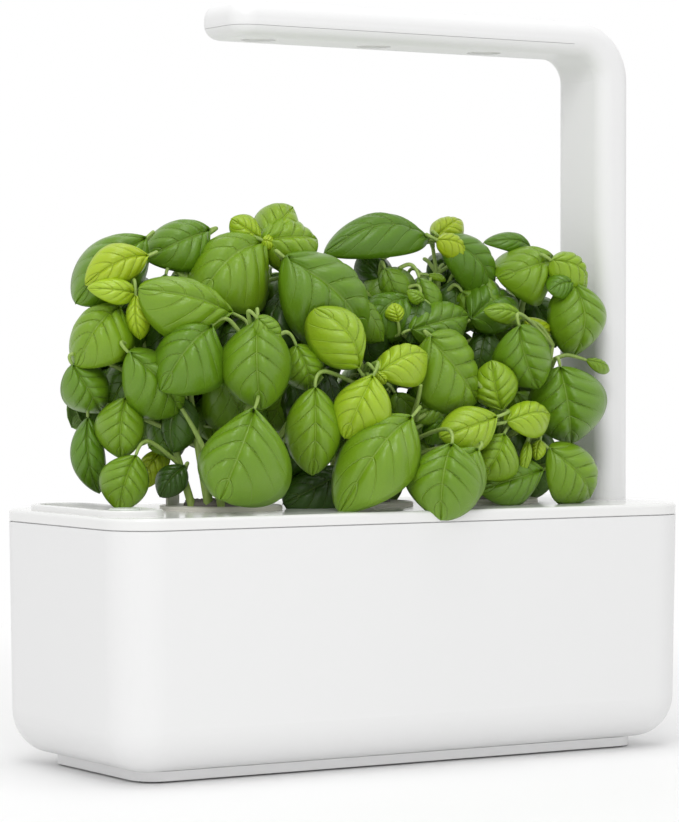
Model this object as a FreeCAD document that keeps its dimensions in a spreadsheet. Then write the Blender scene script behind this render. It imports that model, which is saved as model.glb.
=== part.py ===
import FreeCAD, Part
import math
import os
import Sketcher

# A countertop hydroponic garden: a water tank with a lift-off lid, three plant pods
# and a grow lamp on a plug-together arm. Millimetres, +Z up, +X to the lamp arm,
# -Y to the front. The origin is on the table, under the middle of the tank.

Vector = FreeCAD.Vector
doc = FreeCAD.newDocument("hydroponic_garden")

# Driving dimensions
SIZES = {
    # tank
    "body_length": 300, "body_depth": 125, "tank_top": 109, "tank_floor": 5,
    "corner_radius": 20, "bottom_radius": 19.5, "draft_angle": 0.65,
    "tank_wall": 2.4, "floor_thickness": 2.6, "ridge_width": 1.1, "seam_gap": 0.5,
    # foot
    "foot_inset": 18, "foot_radius": 12, "foot_rail": 16, "pad_diameter": 11,
    "pad_proud": 0.8, "pad_recess": 0.6,
    # lid
    "lid_height": 5, "lid_plate": 2.5, "lid_rim": 4.5, "lid_edge_radius": 1.6,
    "skirt_wall": 1.6, "skirt_depth": 9, "lid_fit": 0.5,
    # filler collar
    "collar_width": 30, "collar_length": 90, "collar_proud": 2.7, "collar_wall": 3.5,
    "collar_margin": 4, "filler_width": 18, "filler_length": 42, "filler_back": 15,
    # level float
    "float_front": 26, "guide_bore": 16, "guide_wall": 1.8, "guide_depth": 44,
    "guide_floor": 2, "drain_diameter": 5, "float_diameter": 14, "float_length": 20,
    "float_rod_diameter": 3, "float_cap_height": 3,
    "float_stop": 0.2,
    # pods
    "pod_pitch": 70, "pod_row_offset": 2, "pod_collar_diameter": 55,
    "pod_collar_bore": 34, "pod_collar_height": 1.8, "cup_diameter": 46,
    "cup_wall": 1.2, "cup_depth": 52, "cup_taper": 5, "cup_fit": 0.6,
    "cup_floor": 1.6, "slot_width": 3, "slot_height": 26, "slot_lift": 8,
    "medium_fit": 0.2, "mound_height": 2.2, "wick_width": 8, "wick_thickness": 1.2,
    "wick_length": 46, "wick_fit": 0.5,
    # plants
    "stem_diameter": 4, "stem_height": 126, "petiole_diameter": 1.6,
    "petiole_length": 5, "leaf_length_deep": 48, "leaf_length_side": 27,
    "leaf_width_deep": 34, "leaf_width_side": 26, "leaf_thickness": 1,
    "leaf_droop": 16, "tier_first": 26, "tier_step": 22, "tier_count": 5,
    # plant marker
    "marker_width": 18.6, "marker_height": 9, "marker_thickness": 1,
    "marker_radius": 22.5, "marker_bearing": 135,
    # lamp arm
    "arm_width": 18, "arm_depth": 38, "arm_radius": 7, "arm_wall": 2,
    "arm_margin": 3, "base_leg": 64, "extension_length": 67,
    "plug_width": 10, "plug_depth": 27, "plug_radius": 2, "plug_length": 22,
    "plug_seat": 8, "socket_wall": 1.4, "socket_floor": 4, "plug_fit": 0.4,
    "plug_end_gap": 0.4, "pin_diameter": 2, "pin_proud": 3, "pin_spread": 8,
    "pin_hole": 3.2, "wire_diameter": 1.6,
    # power inlet
    "inlet_height": 14.5, "jack_seat": 1, "jack_width": 9, "jack_depth": 13, "jack_height": 11,
    "jack_nose": 7, "jack_bore": 5.5, "jack_bore_depth": 9, "jack_pin": 2,
    # lamp head
    "head_top": 28.5, "head_thickness": 16, "head_length": 217,
    "elbow_outer": 27.5, "elbow_inner": 11.5, "head_end_radius": 10,
    "cover_height": 5, "cover_gap": 0.15, "cover_end_margin": 4,
    "light_pitch": 61.5, "light_middle": 13, "light_opening": 16, "lens_diameter": 19,
    "lens_thickness": 1.2, "lens_recess": 0.8,
    "board_length": 150, "board_width": 20, "board_thickness": 1.6, "board_lift": 7,
    "board_screw_spread": 60, "post_diameter": 5, "screw_diameter": 2,
    "screw_head": 4, "screw_head_height": 1.2, "screw_length": 6,
    "chip_size": 3, "chip_height": 0.8, "chip_ring": 4,
    "timer_length": 16, "timer_width": 24, "timer_right": 12,
}

sheet = doc.addObject("Spreadsheet::Sheet", "Size")
for row, (alias, millimetres) in enumerate(SIZES.items(), start=1):
    sheet.set("A%d" % row, alias.replace("_", " "))
    sheet.set("B%d" % row, str(millimetres))
    sheet.setAlias("B%d" % row, alias)
doc.recompute()

# Levels and places that more than one piece shares, as expressions on the sheet
LID_UNDER = "(Size.tank_top + Size.seam_gap)"
LID_TOP = "(Size.tank_top + Size.seam_gap + Size.lid_height)"
PLATE_UNDER = "(Size.tank_top + Size.seam_gap + Size.lid_height - Size.lid_plate)"
COLLAR_X = "(Size.collar_margin + Size.collar_width / 2 - Size.body_length / 2)"
ARM_X = "(Size.body_length / 2 - Size.arm_margin - Size.arm_width / 2)"
BASE_TOP = "(%s + Size.base_leg)" % LID_TOP
LOWER_TOP = "(%s + Size.extension_length)" % BASE_TOP
LAMP_BOTTOM = "(%s + Size.extension_length)" % LOWER_TOP
LAMP_TOP = "(%s + Size.head_top)" % LAMP_BOTTOM
LAMP_SEAT = "(Size.head_top - Size.elbow_outer)"
LAMP_UNDER = "(%s - Size.head_thickness)" % LAMP_TOP
BOARD_UNDER = "(%s + Size.board_lift)" % LAMP_UNDER
BOARD_TOP = "(%s + Size.board_thickness)" % BOARD_UNDER
FLOAT_Y = "(-Size.float_front)"
GUIDE_BOTTOM = "(%s - Size.guide_depth)" % PLATE_UNDER
FLOAT_BOTTOM = "(%s + Size.guide_floor + Size.float_stop)" % GUIDE_BOTTOM
CUP_BOTTOM = "(%s - Size.cup_depth)" % LID_TOP
CUP_FLOOR_TOP = "(%s + Size.cup_floor)" % CUP_BOTTOM

parts = []


def amount(expression):
    """The number that an expression on the sheet gives now."""
    return float(sheet.evalExpression(expression))


def as_part(feature, name):
    """Names a finished sub-part after its node and lists it for writing."""
    feature.Label = name
    parts.append(feature)
    return feature


# Sketches on a body's own origin planes
def new_body(name):
    return doc.addObject("PartDesign::Body", name + "_body")


def new_sketch(body, name, x="0", y="0", level="0", role="XY_Plane"):
    sketch = body.newObject("Sketcher::SketchObject", name)
    plane = next(item for item in body.Origin.OriginFeatures if item.Role == role)
    sketch.AttachmentSupport = [(plane, "")]
    sketch.MapMode = "FlatFace"
    for axis, place in zip("xyz", (x, y, level)):
        sketch.setExpression("AttachmentOffset.Base." + axis, place)
    return sketch


def bound(sketch, kind, references, expression, name):
    """Adds one dimension to a sketch and ties it to the sheet."""
    index = sketch.addConstraint(Sketcher.Constraint(kind, *references, amount(expression)))
    sketch.renameConstraint(index, name)
    sketch.setExpression(".Constraints." + name, expression)


def line(sketch, start, end):
    return sketch.addGeometry(Part.LineSegment(Vector(*start, 0), Vector(*end, 0)), False)


def arc(sketch, centre, radius, first, last):
    circle = Part.Circle(Vector(*centre, 0), Vector(0, 0, 1), radius)
    return sketch.addGeometry(
        Part.ArcOfCircle(circle, math.radians(first), math.radians(last)), False)


def joined(sketch, kind, *ends):
    for first, first_end, second, second_end in ends:
        sketch.addConstraint(Sketcher.Constraint(kind, first, first_end, second, second_end))


def rectangle(sketch, width, depth, tag="outline"):
    """A rectangle centred on the sketch's origin."""
    w, d = amount(width) / 2, amount(depth) / 2
    corners = [(-w, -d), (w, -d), (w, d), (-w, d)]
    sides = [line(sketch, corners[i], corners[(i + 1) % 4]) for i in range(4)]
    joined(sketch, "Coincident", *[(sides[i], 2, sides[(i + 1) % 4], 1) for i in range(4)])
    for index, side in enumerate(sides):
        sketch.addConstraint(Sketcher.Constraint("Vertical" if index % 2 else "Horizontal", side))
    sketch.addConstraint(Sketcher.Constraint("Symmetric", sides[0], 1, sides[2], 1, -1, 1))
    bound(sketch, "DistanceX", (sides[0], 1, sides[0], 2), width, tag + "_width")
    bound(sketch, "DistanceY", (sides[1], 1, sides[1], 2), depth, tag + "_depth")


def rounded(sketch, width, depth, radius, tag="outline"):
    """A rectangle with round corners, centred on the sketch's origin."""
    w, d, r = amount(width) / 2, amount(depth) / 2, amount(radius)
    front = line(sketch, (r - w, -d), (w - r, -d))
    right = line(sketch, (w, r - d), (w, d - r))
    back = line(sketch, (w - r, d), (r - w, d))
    left = line(sketch, (-w, d - r), (-w, r - d))
    corners = [arc(sketch, (w - r, r - d), r, -90, 0), arc(sketch, (w - r, d - r), r, 0, 90),
               arc(sketch, (r - w, d - r), r, 90, 180), arc(sketch, (r - w, r - d), r, 180, 270)]
    sides = [front, right, back, left]
    joined(sketch, "Tangent", *[(sides[i], 2, corners[i], 1) for i in range(4)])
    joined(sketch, "Tangent", *[(corners[i], 2, sides[(i + 1) % 4], 1) for i in range(4)])
    for index, side in enumerate(sides):
        sketch.addConstraint(Sketcher.Constraint("Vertical" if index % 2 else "Horizontal", side))
    for corner in corners[1:]:
        sketch.addConstraint(Sketcher.Constraint("Equal", corners[0], corner))
    bound(sketch, "Radius", (corners[0],), radius, tag + "_radius")
    bound(sketch, "DistanceX", (left, 1, right, 1), width, tag + "_width")
    bound(sketch, "DistanceY", (front, 1, back, 1), depth, tag + "_depth")
    bound(sketch, "DistanceX", (-1, 1, right, 1), "%s / 2" % width, tag + "_half_width")
    bound(sketch, "DistanceY", (-1, 1, back, 1), "%s / 2" % depth, tag + "_half_depth")


def pill(sketch, width, length, tag="outline"):
    """A slot shape with round ends, its length along Y, centred on the origin."""
    r, run = amount(width) / 2, (amount(length) - amount(width)) / 2
    back = arc(sketch, (0, run), r, 0, 180)
    front = arc(sketch, (0, -run), r, 180, 360)
    left = line(sketch, (-r, run), (-r, -run))
    right = line(sketch, (r, -run), (r, run))
    joined(sketch, "Tangent", (back, 2, left, 1), (left, 2, front, 1),
           (front, 2, right, 1), (right, 2, back, 1))
    sketch.addConstraint(Sketcher.Constraint("Vertical", left))
    sketch.addConstraint(Sketcher.Constraint("PointOnObject", back, 3, -2))
    bound(sketch, "Radius", (back,), "%s / 2" % width, tag + "_radius")
    half_run = "(%s - %s) / 2" % (length, width)
    bound(sketch, "DistanceY", (-1, 1, back, 3), half_run, tag + "_back")
    bound(sketch, "DistanceY", (front, 3, -1, 1), half_run, tag + "_front")


def round_hole(sketch, diameter, tag="outline"):
    ring = sketch.addGeometry(
        Part.Circle(Vector(0, 0, 0), Vector(0, 0, 1), amount(diameter) / 2), False)
    sketch.addConstraint(Sketcher.Constraint("Coincident", ring, 3, -1, 1))
    bound(sketch, "Diameter", (ring,), diameter, tag + "_diameter")


# Features
def pad(body, sketch, length, down=False, taper=None):
    feature = body.newObject("PartDesign::Pad", sketch.Name + "_pad")
    feature.Profile = sketch
    feature.Reversed = down
    feature.setExpression("Length", length)
    if taper:
        feature.setExpression("TaperAngle", taper)
    doc.recompute()
    return feature


def pocket(body, sketch, depth, up=False, taper=None):
    """Cuts from a sketch, downwards unless up is set, and checks that it did cut."""
    before = body.Shape.Volume
    feature = body.newObject("PartDesign::Pocket", sketch.Name + "_pocket")
    feature.Profile = sketch
    feature.Reversed = up
    feature.setExpression("Length", depth)
    if taper:
        feature.setExpression("TaperAngle", taper)
    doc.recompute()
    if not body.Shape.Volume < before:
        raise ValueError("%s cuts nothing" % feature.Name)
    return feature


def fillet(body, radius, wanted):
    """Rounds the edges of the body's last feature that the test picks."""
    base = body.Tip
    names = ["Edge%d" % (i + 1) for i, edge in enumerate(base.Shape.Edges) if wanted(edge)]
    if not names:
        raise ValueError("no edge to round on %s" % body.Name)
    feature = body.newObject("PartDesign::Fillet", body.Name + "_fillet")
    feature.Base = (base, names)
    feature.setExpression("Radius", radius)
    doc.recompute()
    return feature


def upright(edge):
    box = edge.BoundBox
    return box.ZLength > 5 * max(box.XLength, box.YLength, 0.2)


def at_level(level):
    z = amount(level)
    return lambda edge: abs(edge.BoundBox.ZMin - z) < 0.02 and abs(edge.BoundBox.ZMax - z) < 0.02


def cylinder(name, diameter, height, x, y, level):
    feature = doc.addObject("Part::Cylinder", name)
    feature.setExpression("Radius", "%s / 2" % diameter)
    feature.setExpression("Height", height)
    for axis, place in zip("xyz", (x, y, level)):
        feature.setExpression("Placement.Base." + axis, place)
    return feature


def block(name, length, width, height, x, y, level):
    """A box centred on x and y, with its underside at level."""
    feature = doc.addObject("Part::Box", name)
    feature.setExpression("Length", length)
    feature.setExpression("Width", width)
    feature.setExpression("Height", height)
    feature.setExpression("Placement.Base.x", "%s - %s / 2" % (x, length))
    feature.setExpression("Placement.Base.y", "%s - %s / 2" % (y, width))
    feature.setExpression("Placement.Base.z", level)
    return feature


def cut(name, base, tool):
    feature = doc.addObject("Part::Cut", name)
    feature.Base = base
    feature.Tool = tool
    return feature


def fused(name, shapes):
    feature = doc.addObject("Part::MultiFuse", name)
    feature.Shapes = shapes
    return feature


def grouped(name, shapes):
    feature = doc.addObject("Part::Compound", name)
    feature.Links = shapes
    return feature


# Tank: one deep injection-moulded tub, drafted, with a ridge that carries the lid
def drafted_tub(name, length, depth, top, corner, bottom, floor_level):
    """A solid tub, narrower towards its floor, with round corners and a round bottom edge."""
    body = new_body(name)
    outline = new_sketch(body, name + "_outline", level=top)
    rectangle(outline, length, depth)
    pad(body, outline, "%s - (%s)" % (top, floor_level), down=True, taper="-Size.draft_angle")
    fillet(body, corner, upright)
    fillet(body, bottom, at_level(floor_level))
    return body


def make_water_tank():
    tub = drafted_tub("tank_tub", "Size.body_length", "Size.body_depth", "Size.tank_top",
                      "Size.corner_radius", "Size.bottom_radius", "Size.tank_floor")
    ridge = new_sketch(tub, "tank_ridge", level="Size.tank_top")
    step = "2 * (Size.tank_wall - Size.ridge_width)"
    rounded(ridge, "(Size.body_length - %s)" % step, "(Size.body_depth - %s)" % step,
            "(Size.corner_radius - Size.tank_wall + Size.ridge_width)")
    pad(tub, ridge, "Size.seam_gap")
    bore = drafted_tub("tank_bore", "(Size.body_length - 2 * Size.tank_wall)",
                       "(Size.body_depth - 2 * Size.tank_wall)", LID_UNDER,
                       "(Size.corner_radius - Size.tank_wall)",
                       "Size.bottom_radius - Size.tank_wall",
                       "Size.tank_floor + Size.floor_thickness")
    return as_part(cut("tank_hollowed", tub, bore), "water_tank")


# Foot: a welded rail under the tank that leaves a shadow line all round
def make_base_foot():
    body = new_body("base_foot")
    outline = new_sketch(body, "foot_outline", level="Size.pad_proud")
    length = "(Size.body_length - 2 * Size.foot_inset)"
    depth = "(Size.body_depth - 2 * Size.foot_inset)"
    rounded(outline, length, depth, "Size.foot_radius", "outer")
    rectangle(outline, "(%s - 2 * Size.foot_rail)" % length,
              "(%s - 2 * Size.foot_rail)" % depth, "inner")
    pad(body, outline, "Size.tank_floor - Size.pad_proud")
    for index, (x, y) in enumerate(pad_places()):
        seat = new_sketch(body, "foot_seat_%d" % (index + 1), x, y, "Size.pad_proud")
        round_hole(seat, "Size.pad_diameter")
        pocket(body, seat, "Size.pad_recess", up=True)
    return as_part(body, "base_foot")


def pad_places():
    reach_x = "(Size.body_length / 2 - Size.foot_inset - Size.foot_rail / 2 - 1)"
    reach_y = "(Size.body_depth / 2 - Size.foot_inset - Size.foot_rail / 2 - 1)"
    return [(sx + reach_x, sy + reach_y) for sx in ("-", "") for sy in ("-", "")]


def make_anti_slip_pads():
    discs = []
    for index, (x, y) in enumerate(pad_places()):
        discs.append(cylinder("anti_slip_disc_%d" % (index + 1), "Size.pad_diameter",
                              "Size.pad_proud + Size.pad_recess", x, y, "0"))
    return as_part(grouped("anti_slip_discs", discs), "anti_slip_pads")


# Lid: a shallow tray that drops a skirt inside the tank, bored for pods, float and arm
def pod_x(number):
    return "(Size.pod_row_offset + %d * Size.pod_pitch)" % (number - 2)


def make_lid_tray():
    body = new_body("lid_tray")
    outline = new_sketch(body, "lid_outline", level=LID_UNDER)
    rounded(outline, "Size.body_length", "Size.body_depth", "Size.corner_radius")
    pad(body, outline, "Size.lid_height")
    fillet(body, "Size.lid_edge_radius", at_level(LID_TOP))
    hollow = new_sketch(body, "lid_hollow", level=LID_UNDER)
    rounded(hollow, "(Size.body_length - 2 * Size.lid_rim)",
            "(Size.body_depth - 2 * Size.lid_rim)", "(Size.corner_radius - Size.lid_rim)")
    pocket(body, hollow, "Size.lid_height - Size.lid_plate", up=True)
    skirt = new_sketch(body, "lid_skirt", level=LID_UNDER)
    inset = "(Size.tank_wall + Size.lid_fit)"
    inner = "(Size.tank_wall + Size.lid_fit + Size.skirt_wall)"
    for tag, shift in (("outer", inset), ("inner", inner)):
        rounded(skirt, "(Size.body_length - 2 * %s)" % shift,
                "(Size.body_depth - 2 * %s)" % shift,
                "(Size.corner_radius - %s)" % shift, tag)
    pad(body, skirt, "Size.skirt_depth", down=True)
    for number in (1, 2, 3):
        hole = new_sketch(body, "lid_pod_hole_%d" % number, pod_x(number), "0", LID_TOP)
        round_hole(hole, "(Size.cup_diameter + 2 * Size.cup_fit)")
        pocket(body, hole, "Size.lid_plate")
    mouth = new_sketch(body, "lid_filler_mouth", COLLAR_X, "Size.filler_back", LID_TOP)
    pill(mouth, "Size.filler_width", "Size.filler_length")
    pocket(body, mouth, "Size.lid_plate")
    window = new_sketch(body, "lid_float_hole", COLLAR_X, FLOAT_Y, LID_TOP)
    round_hole(window, "Size.guide_bore")
    pocket(body, window, "Size.lid_plate")
    arm_hole = new_sketch(body, "lid_arm_hole", ARM_X, "0", LID_TOP)
    rounded(arm_hole, "(Size.plug_width + 2 * Size.plug_fit)",
            "(Size.plug_depth + 2 * Size.plug_fit)", "(Size.plug_radius + Size.plug_fit)")
    pocket(body, arm_hole, "Size.lid_plate")
    return as_part(body, "lid_tray")


def make_filler_collar():
    body = new_body("filler_collar")
    outline = new_sketch(body, "collar_outline", COLLAR_X, "0", LID_TOP)
    pill(outline, "Size.collar_width", "Size.collar_length", "outer")
    pill(outline, "(Size.collar_width - 2 * Size.collar_wall)",
         "(Size.collar_length - 2 * Size.collar_wall)", "inner")
    pad(body, outline, "Size.collar_proud")
    fillet(body, "Size.lid_edge_radius / 2", at_level(LID_TOP + " + Size.collar_proud"))
    return as_part(body, "filler_collar")


def make_float_guide():
    """A tube hung under the lid, with a drained floor that stops the float."""
    body = new_body("float_guide")
    tube = new_sketch(body, "guide_tube", COLLAR_X, FLOAT_Y, PLATE_UNDER)
    round_hole(tube, "(Size.guide_bore + 2 * Size.guide_wall)")
    pad(body, tube, "Size.guide_depth", down=True)
    bore = new_sketch(body, "guide_bore", COLLAR_X, FLOAT_Y, PLATE_UNDER)
    round_hole(bore, "Size.guide_bore")
    pocket(body, bore, "Size.guide_depth - Size.guide_floor")
    drain = new_sketch(body, "guide_drain", COLLAR_X, FLOAT_Y, PLATE_UNDER)
    round_hole(drain, "Size.drain_diameter")
    pocket(body, drain, "Size.guide_depth")
    return as_part(body, "float_guide")


def make_arm_socket():
    """The dry well under the lid that takes the spigot of the lamp arm."""
    body = new_body("arm_socket")
    bore_width = "(Size.plug_width + 2 * Size.plug_fit)"
    bore_depth = "(Size.plug_depth + 2 * Size.plug_fit)"
    outline = new_sketch(body, "arm_socket_outline", ARM_X, "0", PLATE_UNDER)
    rounded(outline, "(%s + 2 * Size.socket_wall)" % bore_width,
            "(%s + 2 * Size.socket_wall)" % bore_depth,
            "(Size.plug_radius + Size.plug_fit + Size.socket_wall)")
    depth = "(Size.plug_length + Size.plug_end_gap - Size.lid_plate)"
    pad(body, outline, "%s + Size.socket_wall" % depth, down=True)
    bore = new_sketch(body, "arm_socket_bore", ARM_X, "0", PLATE_UNDER)
    rounded(bore, bore_width, bore_depth, "(Size.plug_radius + Size.plug_fit)")
    pocket(body, bore, depth)
    return as_part(body, "arm_socket")


# Level float: a foam cylinder on a rod, with a round cap in the filler collar
def make_level_float():
    body_top = "(%s + Size.float_length)" % FLOAT_BOTTOM
    foam = cylinder("float_cylinder", "Size.float_diameter", "Size.float_length",
                    COLLAR_X, FLOAT_Y, FLOAT_BOTTOM)
    as_part(foam, "float_body")
    rod = cylinder("float_stalk", "Size.float_rod_diameter", "%s - %s" % (LID_TOP, body_top),
                   COLLAR_X, FLOAT_Y, body_top)
    as_part(rod, "float_rod")
    body = new_body("float_cap")
    disc = new_sketch(body, "float_disc", COLLAR_X, FLOAT_Y, LID_TOP)
    round_hole(disc, "Size.float_diameter")
    pad(body, disc, "Size.float_cap_height")
    fillet(body, "Size.float_cap_height / 3", at_level(LID_TOP + " + Size.float_cap_height"))
    as_part(body, "float_cap")


# Pods: a tapered net cup under a round collar, with medium, wick and plant
def make_pod_cup(number):
    body = new_body("pod_cup_%d" % number)
    tag = "cup_%d_" % number
    x = pod_x(number)
    outline = new_sketch(body, tag + "outline", x, "0", LID_TOP)
    round_hole(outline, "Size.cup_diameter")
    pad(body, outline, "Size.cup_depth", down=True, taper="-Size.cup_taper")
    bore = new_sketch(body, tag + "bore", x, "0", LID_TOP)
    round_hole(bore, "(Size.cup_diameter - 2 * Size.cup_wall)")
    pocket(body, bore, "Size.cup_depth - Size.cup_floor", taper="-Size.cup_taper")
    for turned in (False, True):
        long_side, short_side = "Size.cup_diameter", "Size.slot_width"
        sketch = new_sketch(body, tag + ("slots_y" if turned else "slots_x"), x, "0",
                            "%s + Size.slot_lift" % CUP_BOTTOM)
        if turned:
            long_side, short_side = short_side, long_side
        rectangle(sketch, long_side, short_side)
        pocket(body, sketch, "Size.slot_height", up=True)
    slit = new_sketch(body, tag + "wick_slit", x, "0", CUP_FLOOR_TOP)
    rectangle(slit, "(Size.wick_width + 2 * Size.wick_fit)",
              "(Size.wick_thickness + 2 * Size.wick_fit)")
    pocket(body, slit, "Size.cup_floor")
    return as_part(body, "pod_cup_%d" % number)


def make_pod_collar(number):
    body = new_body("pod_collar_%d" % number)
    outline = new_sketch(body, "pod_collar_outline_%d" % number, pod_x(number), "0", LID_TOP)
    round_hole(outline, "Size.pod_collar_diameter", "outer")
    round_hole(outline, "Size.pod_collar_bore", "inner")
    pad(body, outline, "Size.pod_collar_height")
    fillet(body, "Size.pod_collar_height / 3",
           at_level(LID_TOP + " + Size.pod_collar_height"))
    return as_part(body, "pod_collar_%d" % number)


def make_growing_medium(number):
    """A plug of growing medium: a cone in the cup, a neck through the collar, a low crown."""
    body = new_body("growing_medium_%d" % number)
    tag = "medium_%d_" % number
    x = pod_x(number)
    neck_width = "(Size.pod_collar_bore - 2 * Size.medium_fit)"
    outline = new_sketch(body, tag + "outline", x, "0", LID_TOP)
    round_hole(outline, "(Size.cup_diameter - 2 * Size.cup_wall - 2 * Size.medium_fit)")
    pad(body, outline, "Size.cup_depth - Size.cup_floor", down=True, taper="-Size.cup_taper")
    neck = new_sketch(body, tag + "neck", x, "0", LID_TOP)
    round_hole(neck, neck_width)
    pad(body, neck, "Size.pod_collar_height + Size.mound_height")
    fillet(body, "Size.mound_height",
           at_level(LID_TOP + " + Size.pod_collar_height + Size.mound_height"))
    return as_part(body, "growing_medium_%d" % number)


def make_wick(number):
    strip = block("wick_strip_%d" % number, "Size.wick_width", "Size.wick_thickness",
                  "Size.wick_length", pod_x(number), "0",
                  "%s - Size.wick_length" % CUP_FLOOR_TOP)
    return as_part(strip, "wick_%d" % number)


def make_plant_marker():
    """A small plate that stands on the first pod's collar, behind the stems."""
    body = new_body("plant_marker")
    width, thickness = "Size.marker_width", "Size.marker_thickness"
    outline = new_sketch(body, "marker_outline", level="0")
    rectangle(outline, width, thickness)
    pad(body, outline, "Size.marker_height")
    bearing = math.radians(amount("Size.marker_bearing"))
    reach = amount("Size.marker_radius")
    turn = FreeCAD.Rotation(Vector(0, 0, 1), amount("Size.marker_bearing") + 90)
    place = Vector(amount(pod_x(1)) + reach * math.cos(bearing), reach * math.sin(bearing),
                   amount(LID_TOP + " + Size.pod_collar_height"))
    body.Placement = FreeCAD.Placement(place, turn)
    return as_part(body, "plant_marker")


# Plants: a straight stem with pairs of leaves, each pair square to the one below
def rod(start, end, diameter):
    along = end - start
    return Part.makeCylinder(diameter / 2, along.Length, start, along)


def leaf_blade(length, width, thickness):
    """A pointed oval plate along +X, from two arcs, its base at the origin."""
    base, tip = Vector(0, 0, 0), Vector(length, 0, 0)
    one = Part.Arc(base, Vector(length / 2, width / 2, 0), tip).toShape()
    other = Part.Arc(tip, Vector(length / 2, -width / 2, 0), base).toShape()
    blade = Part.Face(Part.Wire([one, other])).extrude(Vector(0, 0, thickness))
    blade.translate(Vector(0, 0, -thickness / 2))
    return blade


def make_basil(number):
    foot = Vector(amount(pod_x(number)), 0,
                  amount(LID_TOP + " + Size.pod_collar_height + Size.mound_height"))
    height = amount("Size.stem_height")
    stem = rod(foot, foot + Vector(0, 0, height), amount("Size.stem_diameter"))
    petiole = amount("Size.petiole_length") + amount("Size.stem_diameter") / 2
    droop = amount("Size.leaf_droop")
    leaves = []
    for tier in range(int(amount("Size.tier_count"))):
        along_x = tier % 2 == 1
        kind = "side" if along_x else "deep"
        length = amount("Size.leaf_length_" + kind)
        width = amount("Size.leaf_width_" + kind)
        node = foot + Vector(0, 0, amount("Size.tier_first") + tier * amount("Size.tier_step"))
        for facing in (0, 180):
            bearing = facing if along_x else facing + 90
            turn = FreeCAD.Rotation(Vector(0, 0, 1), bearing)
            tip = node + turn.multVec(Vector(petiole, 0, 0))
            stem = stem.fuse(rod(node, tip, amount("Size.petiole_diameter")))
            blade = leaf_blade(length, width, amount("Size.leaf_thickness"))
            lean = FreeCAD.Rotation(Vector(0, 1, 0), droop)
            blade.Placement = FreeCAD.Placement(tip, turn.multiply(lean)).multiply(
                blade.Placement)
            leaves.append(blade)
    feature = doc.addObject("Part::Feature", "basil_form_%d" % number)
    feature.Shape = Part.Compound([stem] + leaves)
    feature.Placement = FreeCAD.Placement()
    return as_part(feature, "basil_%d" % number)


# Lamp arm: hollow sections that plug into each other, wires inside
def make_arm_shell(name, bottom, length, inlet=False):
    body = new_body(name + "_shell")
    outline = new_sketch(body, name + "_outline", ARM_X, "0", bottom)
    rounded(outline, "Size.arm_width", "Size.arm_depth", "Size.arm_radius", "outer")
    rounded(outline, "(Size.arm_width - 2 * Size.arm_wall)",
            "(Size.arm_depth - 2 * Size.arm_wall)",
            "(Size.arm_radius - Size.arm_wall)", "inner")
    pad(body, outline, length)
    if inlet:
        hole = new_sketch(body, name + "_inlet", ARM_X,
                          "%s + Size.inlet_height" % LID_TOP, "-Size.arm_depth / 2",
                          role="XZ_Plane")
        round_hole(hole, "Size.jack_nose")
        pocket(body, hole, "Size.arm_wall + Size.jack_seat", up=True)
    return as_part(body, name + "_shell")


def make_plug(name, bottom, label, pins=True, seat_height="Size.plug_seat"):
    """The plug glued in a section's lower end: a seat in the tube and a spigot below it."""
    body = new_body(label)
    seat = new_sketch(body, name + "_plug_seat", ARM_X, "0", bottom)
    rounded(seat, "(Size.arm_width - 2 * Size.arm_wall)",
            "(Size.arm_depth - 2 * Size.arm_wall)", "(Size.arm_radius - Size.arm_wall)")
    pad(body, seat, seat_height)
    spigot = new_sketch(body, name + "_spigot_outline", ARM_X, "0", bottom)
    rounded(spigot, "Size.plug_width", "Size.plug_depth", "Size.plug_radius")
    pad(body, spigot, "Size.plug_length", down=True)
    if pins:
        for side, y in (("front", "-Size.pin_spread"), ("back", "Size.pin_spread")):
            hole = new_sketch(body, "%s_pin_hole_%s" % (name, side), ARM_X, y,
                              "%s + %s" % (bottom, seat_height))
            round_hole(hole, "Size.pin_diameter")
            pocket(body, hole, seat_height + " + Size.plug_length")
    return as_part(body, label)


def make_pins(name, bottom, seat_height="Size.plug_seat"):
    pins = []
    for side, y in (("front", "-Size.pin_spread"), ("back", "Size.pin_spread")):
        pins.append(cylinder("%s_pin_%s" % (name, side), "Size.pin_diameter",
                             seat_height + " + Size.plug_length + 2 * Size.pin_proud",
                             ARM_X, y, "%s - Size.plug_length - Size.pin_proud" % bottom))
    return as_part(grouped(name + "_pin_pair", pins), name + "_contact_pins")


def socket_floor_level(top):
    return "(%s - Size.plug_length - Size.plug_end_gap - Size.socket_floor)" % top


def make_socket(name, top):
    """The block glued in a section's upper end that takes the next section's plug."""
    body = new_body(name + "_socket")
    outline = new_sketch(body, name + "_socket_outline", ARM_X, "0", top)
    rounded(outline, "(Size.arm_width - 2 * Size.arm_wall)",
            "(Size.arm_depth - 2 * Size.arm_wall)", "(Size.arm_radius - Size.arm_wall)")
    bore_depth = "Size.plug_length + Size.plug_end_gap"
    pad(body, outline, bore_depth + " + Size.socket_floor", down=True)
    bore = new_sketch(body, name + "_socket_bore", ARM_X, "0", top)
    rounded(bore, "(Size.plug_width + 2 * Size.plug_fit)",
            "(Size.plug_depth + 2 * Size.plug_fit)", "(Size.plug_radius + Size.plug_fit)")
    pocket(body, bore, bore_depth)
    for side, y in (("front", "-Size.pin_spread"), ("back", "Size.pin_spread")):
        hole = new_sketch(body, "%s_contact_hole_%s" % (name, side), ARM_X, y, top)
        round_hole(hole, "Size.pin_hole")
        pocket(body, hole, bore_depth + " + Size.socket_floor")
    return as_part(body, name + "_socket")


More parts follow.
